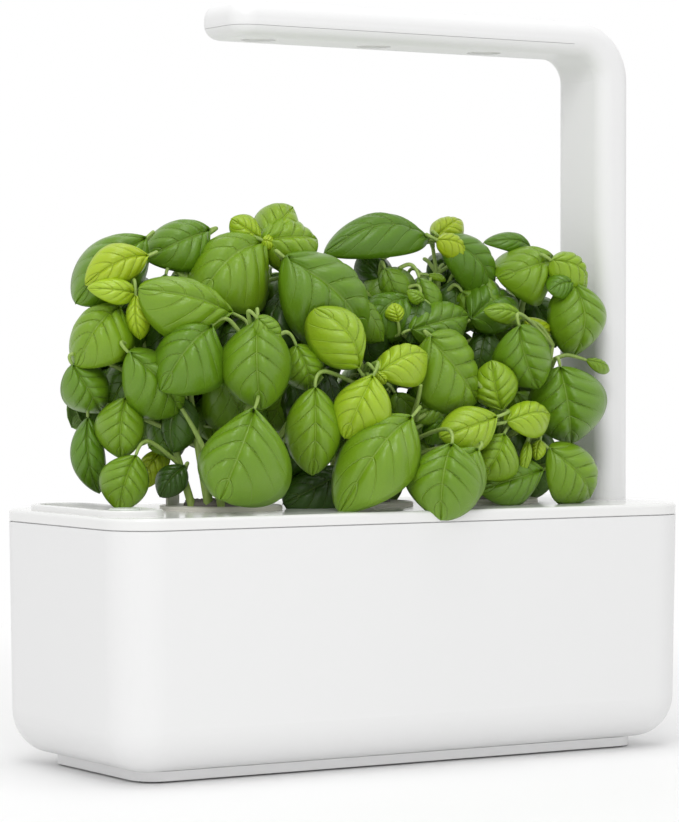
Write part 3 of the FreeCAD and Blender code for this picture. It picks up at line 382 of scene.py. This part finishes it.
def crumb_tree():
    """Crumbs strewn over a disc, each a small uneven ball."""
    tree, start = geometry_tree(
        "crumbs", (("Density", "Float", 9.0e5), ("Size", "Float", 0.0008), ("Seed", "Int", 1)))
    make, link = tree.nodes.new, tree.links.new
    strewn = make("GeometryNodeDistributePointsOnFaces")
    link(start.outputs["Geometry"], strewn.inputs["Mesh"])
    link(start.outputs["Density"], strewn.inputs["Density"])
    link(start.outputs["Seed"], strewn.inputs["Seed"])
    ball = make("GeometryNodeMeshIcoSphere")
    ball.inputs["Subdivisions"].default_value = 1
    link(start.outputs["Size"], ball.inputs["Radius"])
    placed = make("GeometryNodeInstanceOnPoints")
    link(strewn.outputs["Points"], placed.inputs["Points"])
    link(ball.outputs["Mesh"], placed.inputs["Instance"])
    link(strewn.outputs["Rotation"], placed.inputs["Rotation"])
    sizes = make("FunctionNodeRandomValue")
    sizes.data_type = "FLOAT_VECTOR"
    sizes.inputs[0].default_value = SMALLEST_CRUMB
    sizes.inputs[1].default_value = LARGEST_CRUMB
    link(start.outputs["Seed"], next(item for item in sizes.inputs if item.name == "Seed"))
    link(sizes.outputs[0], placed.inputs["Scale"])
    end_tree(tree, start, placed.outputs["Instances"])
    return tree


def made_by_nodes(piece, tree, **values):
    """Runs a Geometry Nodes tree on a piece and returns the result as a plain mesh object."""
    modifier = piece.modifiers.new("made", "NODES")
    modifier.node_group = tree
    for item in tree.interface.items_tree:
        if item.in_out == "INPUT" and item.name in values:
            modifier[item.identifier] = values[item.name]
    bpy.context.view_layer.update()
    graph = bpy.context.evaluated_depsgraph_get()
    mesh = bpy.data.meshes.new_from_object(piece.evaluated_get(graph), depsgraph=graph)
    name = piece.name
    bpy.data.objects.remove(piece)
    made = bpy.data.objects.new(name, mesh)
    bpy.context.scene.collection.objects.link(made)
    mesh.name = name
    return made


CRUMB_BED_RADIUS = 0.0155  # inside the collar's opening
CRUMB_BED_SINK = 0.0002  # below the medium's top, so that no crumb floats
CRUMB_BED_CORNERS = 32
CRUMBS = crumb_tree()
for number in (1, 2, 3):
    low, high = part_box("growing_medium_%d" % number)
    middle = (low + high) / 2
    ring = []
    for corner in range(CRUMB_BED_CORNERS):
        angle = 2 * math.pi * corner / CRUMB_BED_CORNERS
        ring.append((middle.x + CRUMB_BED_RADIUS * math.cos(angle),
                     middle.y + CRUMB_BED_RADIUS * math.sin(angle), high.z - CRUMB_BED_SINK))
    disc = bpy.data.meshes.new("crumbs_%d" % number)
    disc.from_pydata(ring, [], [tuple(range(CRUMB_BED_CORNERS))])
    crumbs = made_by_nodes(new_object("medium_crumbs_%d" % number, disc), CRUMBS,
                           Seed=number, Material=soil)
    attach(crumbs, "pod_%d" % number)


# Basil leaves: glossy pointed ovals, domed and puckered between arched side veins,
# mature ones dark and young ones pale. Each hangs from a petiole of its plant.

# A row is one leaf that shows: pixel of its base, pixel of its tip, their Y (mm), width
# (mm) and tone (-0.4 shaded, 0 mature, 1 young, 2 lit through from behind).
LEAVES = {1: [
    (146, 238, 76, 300, 6, 10, 27, 0.1), (148, 256, 88, 282, -2, 0, 17, 1.8),
    (209, 230, 147, 252, 10, 10, 24, 0.1),
    (264, 243, 200, 292, -5, -12, 38, 0.35), (261, 239, 233, 219, -5, -5, 12, 0.8),
    (262, 239, 294, 204, -3, -3, 22, 0.6), (262, 240, 322, 236, -6, -6, 26, 0.5),
    (262, 240, 276, 246, -8, -8, 7, 1.0), (231, 313, 145, 284, -20, -20, 27, 0.35),
    (138, 294, 91, 287, -5, -5, 11, 0.9), (136, 295, 139, 340, -8, -8, 10.5, 1.0),
    (120, 307, 74, 360, 2, 2, 28, 0.4), (212, 326, 160, 384, -25, -25, 32, 0.1),
    (216, 322, 188, 338, -12, -12, 10, 0.2), (128, 352, 186, 414, -12, -12, 26, 0.15),
    (72, 364, 104, 415, 8, 8, 20, 0.1), (258, 320, 262, 408, -38, -44, 30, 0.2),
    (257, 318, 280, 345, -42, -42, 14, 0.3), (296, 345, 312, 392, -30, -30, 18, 0.3),
    (254, 410, 219, 496, -46, -52, 38, 0.2), (88, 417, 100, 495, 12, 12, 14, 0.0),
    (126, 397, 122, 459, -5, -5, 20, 0.3), (136, 455, 120, 510, -10, -10, 20, 0.3),
    (184, 420, 150, 446, 5, 5, 16, 0.2), (185, 466, 160, 495, -5, -5, 13, -0.4),
    (168, 448, 142, 486, 15, 15, 12, 2.0), (190, 412, 200, 388, 25, 25, 8, 2.0),
    (218, 404, 221, 388, 28, 28, 6, 2.0), (186, 432, 199, 416, 22, 22, 7, 0.6),
    (280, 480, 272, 499, -20, -20, 10, -0.4),
], 2: [
    (284, 257, 373, 334, -18, -26, 40, 0.1), (358, 368, 322, 308, -40, -40, 24, 0.7),
    (378, 373, 429, 349, -42, -42, 20, 0.9), (376, 372, 386, 385, -43, -43, 5, 1.0),
    (373, 376, 343, 435, -48, -48, 24, 0.85), (428, 240, 330, 243, 0, 0, 22, 0.0),
    (398, 288, 362, 256, 8, 8, 16, -0.4), (412, 300, 372, 326, -8, -8, 24, 0.0),
    (424, 300, 409, 290, -15, -15, 7, 0.4), (398, 322, 394, 303, -15, -15, 9, 1.0),
    (315, 387, 314, 476, -38, -38, 23, 0.35), (411, 418, 342, 502, -50, -56, 32, 0.3),
    (348, 470, 285, 500, -15, -15, 24, -0.4), (300, 440, 283, 478, -10, -10, 14, -0.4),
    (452, 444, 441, 517, -63, -69, 32, 0.2), (478, 450, 434, 494, -58, -58, 26, 0.25),
    (449, 405, 412, 418, -30, -30, 12, 0.3), (448, 418, 428, 442, -32, -32, 12, 0.0),
], 3: [
    (433, 240, 463, 216, 5, 5, 14, 2.0), (440, 238, 497, 296, -5, -5, 22, 0.0),
    (437, 240, 470, 258, -8, -8, 12, 2.0), (428, 262, 458, 284, 15, 15, 18, -0.4),
    (428, 275, 448, 279, 0, 0, 4, 0.5), (410, 330, 472, 312, -18, -18, 24, 0.1),
    (470, 320, 520, 295, -8, -8, 26, 0.0), (428, 336, 484, 402, -35, -35, 36, 0.3),
    (553, 260, 502, 273, -15, -15, 28, 0.4), (530, 248, 488, 240, 0, 0, 10, 0.0),
    (551, 260, 592, 289, -26, -26, 18, 0.6), (573, 282, 576, 358, -28, -28, 27, 0.25),
    (573, 282, 550, 290, -30, -30, 12, 0.0), (586, 360, 612, 369, -30, -30, 7, 0.4),
    (519, 325, 541, 390, -40, -40, 26, 0.15), (524, 320, 555, 334, -20, -20, 9, 2.0),
    (522, 318, 487, 308, -25, -25, 10, 0.5), (560, 366, 572, 446, -35, -35, 34, 0.1),
    (502, 410, 492, 361, -38, -38, 20, 0.6), (496, 417, 443, 435, -50, -50, 20, 0.8),
    (506, 422, 553, 411, -48, -48, 17, 0.8), (504, 434, 482, 475, -46, -46, 22, 0.5),
    (528, 441, 523, 473, -44, -44, 5, 0.7), (548, 448, 597, 498, -42, -42, 26, 0.3),
    (542, 470, 482, 489, -40, -40, 22, 0.1), (540, 440, 536, 460, -42, -42, 7, 0.9),
]}

pick = random.Random(7)
OUTLINE_FULLNESS, OUTLINE_BASE, OUTLINE_TIP = 2.73, 0.7, 0.75  # the last two are powers
NARROWEST = 0.006  # of the leaf's width, at its two ends
SWAY, TWIST, DROOP = 0.09, 0.8, 0.7  # the midrib's sideways bend, the roll and the tip's fall
SIDE_VEINS = 5.0
VEIN_REACH, VEIN_BEND = 0.30, 1.1  # how far side veins run towards the tip, and their curve
GROOVE_DEPTH, GROOVE_HALF_WIDTH = 0.035, 0.09  # of the leaf's width, and of its half width
QUILT_HEIGHT = 0.07  # of the leaf's width, between side veins


def leaf_points(length, width, bow, cup, rows, columns):
    """Grid points of one leaf in its own frame: X along the midrib, Z out of its face.

    along runs from 0 at the base to 1 at the tip, across from -1 to 1 between the edges.
    """
    points, coordinates = [], []
    phase, wave = pick.uniform(0, 6), pick.uniform(0.008, 0.022)
    sway, twist = pick.uniform(-SWAY, SWAY) * length, TWIST * math.sin(5 * phase)
    for row in range(rows + 1):
        along = row / rows
        outline = OUTLINE_FULLNESS * along ** OUTLINE_BASE * (1 - along) ** OUTLINE_TIP
        half = max(outline, NARROWEST) * width / 2
        bulge = 4 * along * (1 - along)
        arch = bow * length * (bulge - DROOP * along ** 3)
        for column in range(columns + 1):
            across = 2 * column / columns - 1
            side = abs(across)
            dome = -cup * half * (0.6 * side ** 2 + 0.4 * side ** 5)
            groove = -GROOVE_DEPTH * width * math.exp(-(side / GROOVE_HALF_WIDTH) ** 2)
            arched = along - VEIN_REACH * side ** VEIN_BEND
            quilt = abs(math.sin(math.pi * SIDE_VEINS * arched)) ** 0.7
            fading = (1 - side ** 4) * min(1, side * 5) * (1 - along ** 4)
            swell = QUILT_HEIGHT * width * quilt * fading
            turn = 6 * along + phase + (2 if across > 0 else 0)
            ripple = wave * width * math.sin(turn) * side ** 4
            rolled = twist * (along - 0.4) * across * half
            points.append((along * length, across * half + sway * bulge,
                           arch + dome + groove + swell + ripple + rolled))
            coordinates.append((along, (across + 1) / 2))
    return points, coordinates


def leaf_frame(base, tip, facing, roll):
    """Axes of a leaf that faces a given way, turned about its midrib by roll."""
    along = (tip - base).normalized()
    across = facing.cross(along).normalized()
    out = along.cross(across)
    turn = math.radians(roll)
    return (along, across * math.cos(turn) + out * math.sin(turn),
            out * math.cos(turn) - across * math.sin(turn))


class Foliage:
    """The leaves of one plant, gathered for one mesh."""

    def __init__(self):
        self.points, self.faces, self.uvs, self.tones, self.bases = [], [], [], [], []

    def add(self, base, tip, facing, roll, width, tone, bow, rows, columns):
        """Adds a leaf as a grid of faces and keeps its base for the petiole."""
        along, across, out = leaf_frame(base, tip, facing, roll)
        cup = pick.uniform(0.6, 1.1)
        points, coordinates = leaf_points((tip - base).length, width, bow, cup, rows, columns)
        row_points = columns + 1
        for row in range(rows):
            for column in range(columns):
                first = len(self.points) + row * row_points + column
                self.faces.append((first, first + row_points, first + row_points + 1, first + 1))
        places = [base + along * x + across * y + out * z for x, y, z in points]
        back = max(0.0, FRONT_LIMIT - min(place.y for place in places))
        self.points += [place + CAMERA_AIM * (back / CAMERA_AIM.y) for place in places]
        self.uvs += coordinates
        self.tones += [tone] * len(points)
        self.bases.append((base, -along))


FRONT_LIMIT = -0.0745  # leaves that would come further forward move back along the view
FINE_GRID, COARSE_GRID = (36, 22), (14, 8)
WIDER = 1.1  # the domed blades look narrower than they are
TOWARDS_CAMERA = -0.75 * CAMERA_AIM + Vector((0, 0, 0.25))
TOWARDS_REAR = Vector((0, 0.8, 0.5))
foliage = {number: Foliage() for number in LEAVES}
for number, rows in LEAVES.items():
    for base_column, base_row, tip_column, tip_row, base_depth, tip_depth, width, tone in rows:
        base = at_pixel(base_column, base_row, base_depth * MM)
        tip = at_pixel(tip_column, tip_row, tip_depth * MM)
        roll, bow = pick.uniform(-16, 16), pick.uniform(0.14, 0.26)
        foliage[number].add(base, tip, TOWARDS_CAMERA, roll, width * WIDER * MM, tone, bow,
                            *FINE_GRID)

# Leaves inside the plants and behind them, which the photograph shows only as dark
# gaps or not at all: inner ones face the camera, back ones lean out to the rear.
SPANS = {1: (-0.110, -0.032), 2: (-0.042, 0.038), 3: (0.036, 0.108)}  # each plant's X
LOWEST, HIGHEST = {1: 0.162, 2: 0.140, 3: 0.140}, 0.224
INNER_LEAVES, BACK_LEAVES = 36, 26
INNER_DEPTHS, BACK_DEPTHS = (-0.012, 0.016), (0.014, 0.030)
INNER_LEAN, BACK_LEAN = (-0.006, 0.006), (0.010, 0.024)
# Inner leaves mostly take the shaded tones: painted shade in the gaps between the outer leaves.
INNER_TONES, BACK_TONES = (-0.4, -0.3, -0.1, 0.2), (0, 0.2, 0.5)
NARROWS_FROM, NARROWS_OVER, NARROWS_BY = 0.180, 0.040, 0.020  # a plant's left side, lower down
for number, (left, right) in SPANS.items():
    for index in range(INNER_LEAVES + BACK_LEAVES):
        behind = index >= INNER_LEAVES
        depth = pick.uniform(*(BACK_DEPTHS if behind else INNER_DEPTHS))
        height = pick.uniform(LOWEST[number], HIGHEST)
        inset = NARROWS_BY * max(0.0, (NARROWS_FROM - height) / NARROWS_OVER)
        base = Vector((pick.uniform(left + inset, right), depth, height))
        lean = pick.uniform(*(BACK_LEAN if behind else INNER_LEAN))
        sideways, drop = pick.uniform(-0.018, 0.018), pick.uniform(0.018, 0.030)
        tip = base + Vector((sideways, lean, -drop))
        facing = TOWARDS_REAR if behind else TOWARDS_CAMERA
        roll = pick.uniform(-35, 35)
        width = (tip - base).length * pick.uniform(0.68, 0.85)
        tone = pick.choice(BACK_TONES if behind else INNER_TONES)
        bow = pick.uniform(0.08, 0.18)
        foliage[number].add(base, tip, facing, roll, width, tone, bow, *COARSE_GRID)

TONE_COLOURS = [  # from shaded to lit through
    (0.0, (0.012, 0.040, 0.003, 1)), (0.2, (0.108, 0.235, 0.006, 1)),
    (0.4, (0.235, 0.400, 0.010, 1)), (0.6, (0.44, 0.62, 0.018, 1)),
    (1.0, (0.42, 0.56, 0.010, 1))]
TONE_SCALE, TONE_SHIFT = 0.4, 0.2  # from a leaf's tone to a place among the colours
MOTTLE_GREEN, VEIN_GREEN = (0.05, 0.15, 0.004, 1), (0.42, 0.55, 0.12, 1)
UNDERSIDE_GREEN = (0.30, 0.42, 0.16, 1)
MOTTLE_SHARE, VEIN_SHARE = 0.3, 0.14
SIDE_VEIN_WIDTH, MIDRIB_WIDTH = 0.2, 0.06
CELL_RELIEF = 0.22  # next to 1 for the veins
LEAF_GLOSS, LEAF_GLOSS_SPREAD = 0.27, 0.2


def vein_group():
    """Leaf colour by tone (painted shade, mature and young green, painted light shining through),
    pale veins and midrib, fine mottling and the relief of veins.
    """
    group, start, end = node_group(
        "leaf_surface", [("Pale", "Float", 0.0), ("Vein Count", "Float", SIDE_VEINS)],
        [("Color", "Color"), ("Roughness", "Float"), ("Height", "Float")])
    uv = group.nodes.new("ShaderNodeUVMap")
    uv.uv_map = "leaf"
    parts = group.nodes.new("ShaderNodeSeparateXYZ")
    group.links.new(uv.outputs["UV"], parts.inputs[0])
    across = math_node(group, "MULTIPLY_ADD", parts.outputs[1], 2.0, -1.0)
    side = math_node(group, "ABSOLUTE", across)
    arched = math_node(group, "MULTIPLY", math_node(group, "POWER", side, VEIN_BEND), VEIN_REACH)
    along = math_node(group, "SUBTRACT", parts.outputs[0], arched)
    phase = math_node(group, "MULTIPLY", along, start.outputs["Vein Count"])
    half_turns = math_node(group, "MULTIPLY", phase, math.pi)
    wave = math_node(group, "ABSOLUTE", math_node(group, "SINE", half_turns))

    def line(value, width):
        """1 where a value is 0, fading to 0 at a width."""
        soft = group.nodes.new("ShaderNodeMapRange")
        soft.interpolation_type = "SMOOTHSTEP"
        soft.inputs["From Min"].default_value = width
        soft.inputs["From Max"].default_value = 0.0
        group.links.new(value, soft.inputs["Value"])
        return soft.outputs["Result"]

    fading = math_node(group, "SUBTRACT", 1.0, math_node(group, "POWER", side, 1.5))
    side_vein = math_node(group, "MULTIPLY", line(wave, SIDE_VEIN_WIDTH), fading)
    veins = math_node(group, "MAXIMUM", side_vein, line(side, MIDRIB_WIDTH))
    tone = group.nodes.new("ShaderNodeAttribute")
    tone.attribute_name = "tone"
    scaled = math_node(group, "MULTIPLY_ADD", tone.outputs["Fac"], TONE_SCALE, TONE_SHIFT)
    ramp = group.nodes.new("ShaderNodeValToRGB")
    while len(ramp.color_ramp.elements) < len(TONE_COLOURS):
        ramp.color_ramp.elements.new(0.5)
    for element, (spot, colour) in zip(ramp.color_ramp.elements, TONE_COLOURS):
        element.position, element.color = spot, colour
    group.links.new(scaled, ramp.inputs["Fac"])
    coordinates = group.nodes.new("ShaderNodeTexCoord")
    mottle = group.nodes.new("ShaderNodeTexNoise")
    mottle.inputs["Scale"].default_value = 70.0
    mottle.inputs["Detail"].default_value = 4.0
    group.links.new(coordinates.outputs["Object"], mottle.inputs["Vector"])
    patch = math_node(group, "MULTIPLY", mottle.outputs["Fac"], MOTTLE_SHARE)
    blotched = colour_mix(group, patch, ramp.outputs["Color"], MOTTLE_GREEN)
    vein_share = math_node(group, "MULTIPLY", veins, VEIN_SHARE)
    pale_vein = colour_mix(group, vein_share, blotched, VEIN_GREEN)
    under = colour_mix(group, start.outputs["Pale"], pale_vein, UNDERSIDE_GREEN)
    group.links.new(under, end.inputs["Color"])
    cells = group.nodes.new("ShaderNodeTexVoronoi")
    cells.feature = "DISTANCE_TO_EDGE"
    cells.inputs["Scale"].default_value = 600.0
    group.links.new(coordinates.outputs["Object"], cells.inputs["Vector"])
    fine = math_node(group, "MULTIPLY", cells.outputs["Distance"], CELL_RELIEF)
    relief = math_node(group, "SUBTRACT", fine, veins)
    group.links.new(relief, end.inputs["Height"])
    gloss = math_node(group, "MULTIPLY_ADD", mottle.outputs["Fac"], LEAF_GLOSS_SPREAD, LEAF_GLOSS)
    group.links.new(gloss, end.inputs["Roughness"])
    return group


LEAF_SURFACE = vein_group()
VEIN_BUMP, VEIN_DEPTH = 0.8, 0.0006


def leaf_material(name, pale):
    """The skin of a leaf; its underside is paler."""
    made, inputs = grouped_material(name, LEAF_SURFACE, VEIN_BUMP, VEIN_DEPTH, Pale=pale)
    inputs["Subsurface Weight"].default_value = 0.1
    inputs["Subsurface Radius"].default_value = (0.0006, 0.0012, 0.0003)
    return made


LEAF_TOP = leaf_material("basil_leaf_top", 0.0)
LEAF_UNDER = leaf_material("basil_leaf_under", 0.45)
BLADE_THICKNESS = 0.0003
for number, plant in foliage.items():
    mesh = bpy.data.meshes.new("basil_leaves_%d" % number)
    mesh.from_pydata([tuple(point) for point in plant.points], [], plant.faces)
    layer = mesh.uv_layers.new(name="leaf")
    order = np.zeros(len(mesh.loops), np.int32)
    mesh.loops.foreach_get("vertex_index", order)
    layer.data.foreach_set("uv", np.array(plant.uvs, np.float32)[order].ravel())
    tones = mesh.attributes.new("tone", "FLOAT", "POINT")
    tones.data.foreach_set("value", np.array(plant.tones, np.float32))
    mesh.shade_smooth()
    leaves = new_object("basil_leaves_%d" % number, mesh, LEAF_TOP, LEAF_UNDER)
    shell = leaves.modifiers.new("blade", "SOLIDIFY")
    shell.thickness = BLADE_THICKNESS
    shell.offset = -1
    shell.material_offset = 1
    shell.material_offset_rim = 1
    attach(leaves, "pod_%d" % number)
    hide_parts("basil_%d" % number)


# Basil stems: several green stems rise from each pod and fan out, and a thin petiole
# joins each leaf to the nearest stem below it. All of them taper along their curves.
def sweep_tree():
    """A round section swept along curves, as thick as each curve's own radius."""
    tree, start = geometry_tree("stem_sweep", (("Sides", "Int", 8),))
    make, link = tree.nodes.new, tree.links.new
    profile = make("GeometryNodeCurvePrimitiveCircle")
    profile.inputs["Radius"].default_value = 1.0
    link(start.outputs["Sides"], profile.inputs["Resolution"])
    swept = make("GeometryNodeCurveToMesh")
    link(start.outputs["Geometry"], swept.inputs["Curve"])
    link(profile.outputs["Curve"], swept.inputs["Profile Curve"])
    link(make("GeometryNodeInputRadius").outputs[0], swept.inputs["Scale"])
    swept.inputs["Fill Caps"].default_value = True
    smooth = make("GeometryNodeSetShadeSmooth")
    link(swept.outputs["Mesh"], smooth.inputs["Geometry"])
    end_tree(tree, start, smooth.outputs["Geometry"])
    return tree


STEM_GREEN, STEM_PALE = (0.17, 0.30, 0.045, 1), (0.42, 0.54, 0.14, 1)
STEM_RIBS = (900, 900, 60)


def stem_material():
    """Green stem skin with fine lengthwise ribs and paler patches."""
    made, nodes, links, principled = shader("basil_stem")
    ribs = stretched_noise(made.node_tree, STEM_RIBS)
    skin = colour_mix(made.node_tree, ribs, STEM_GREEN, STEM_PALE)
    links.new(skin, principled.inputs["Base Color"])
    relief = nodes.new("ShaderNodeBump")
    relief.inputs["Strength"].default_value = 0.3
    relief.inputs["Distance"].default_value = 0.0003
    links.new(ribs, relief.inputs["Height"])
    links.new(relief.outputs["Normal"], principled.inputs["Normal"])
    principled.inputs["Roughness"].default_value = 0.5
    return made


def add_path(curve, points, radii):
    """One smooth spline through points, with a radius at each."""
    spline = curve.splines.new("NURBS")
    spline.points.add(len(points) - 1)
    for control, point, radius in zip(spline.points, points, radii):
        control.co = (*point, 1)
        control.radius = radius
    spline.order_u = 3
    spline.use_endpoint_u = True


SWEEP = sweep_tree()
STEM_SKIN = stem_material()
MAIN_STEMS = {  # points along each main stem, mm
    1: [[(-83, -2, 113), (-92, -2, 140), (-104, 6, 190), (-112, 14, 218)],
        [(-79, -9, 113), (-86, -8, 150), (-88, 2, 200), (-80, 8, 228)],
        [(-72, -4, 113), (-68, -8, 160), (-60, 2, 210), (-52, 4, 240)],
        [(-66, -9, 113), (-64, -20, 150), (-66, -28, 182)],
        [(-75, -13, 113), (-80, -18, 135), (-96, -14, 160)],
        [(-70, -13, 113), (-72, -20, 135), (-70, -25, 158)],
        [(-77, -5, 113), (-80, -10, 138), (-92, -6, 168)],
        [(-62, -4, 113), (-46, -14, 150), (-32, -28, 174)]],
    2: [[(-4, 2, 113), (-12, 0, 160), (-30, -8, 212)],
        [(2, -4, 113), (-2, -20, 150), (-14, -32, 180)],
        [(8, 2, 113), (14, 4, 170), (22, 8, 228)],
        [(6, -6, 113), (16, -30, 150), (10, -44, 170)]],
    3: [[(66, 2, 113), (60, 4, 170), (51, 8, 234)],
        [(72, -4, 113), (72, -20, 150), (60, -36, 158)],
        [(78, 0, 113), (88, -2, 170), (92, -6, 212), (98, -12, 224)],
        [(80, -6, 113), (92, -22, 150), (97, -24, 188)]]}
STEM_RADIUS, STEM_TAPER = 0.0020, 0.0011
PETIOLE_RADII = (0.0011, 0.0010, 0.0009, 0.0007)
PETIOLE_RISE = Vector((0, 0, 0.002))
KNEE_LENGTH, KNEE_SHARE = 0.008, 0.4  # the petiole's straight end behind the leaf, at most
JOINT_STEPS = 5  # places between two points of a stem where a petiole can start
for number, mains in MAIN_STEMS.items():
    curve = bpy.data.curves.new("basil_stems_%d" % number, "CURVE")
    curve.dimensions = "3D"
    joints = []
    for main in mains:
        main = [Vector(point) * MM for point in main]
        last = len(main) - 1
        add_path(curve, main, [STEM_RADIUS - STEM_TAPER * index / last for index in range(last + 1)])
        for first, second in zip(main, main[1:]):
            joints += [first.lerp(second, step / JOINT_STEPS) for step in range(JOINT_STEPS + 1)]
    for base, back in foliage[number].bases:
        below = [point for point in joints if point.z < base.z]
        joint = min(below or joints, key=lambda point: (point - base).length)
        knee = base + back * min(KNEE_LENGTH, (joint - base).length * KNEE_SHARE)
        rise = joint.lerp(knee, 0.5) + PETIOLE_RISE
        add_path(curve, [joint, rise, knee, base], PETIOLE_RADII)
    stalks = made_by_nodes(new_object("basil_stems_%d" % number, curve), SWEEP,
                           Material=STEM_SKIN)
    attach(stalks, "pod_%d" % number)
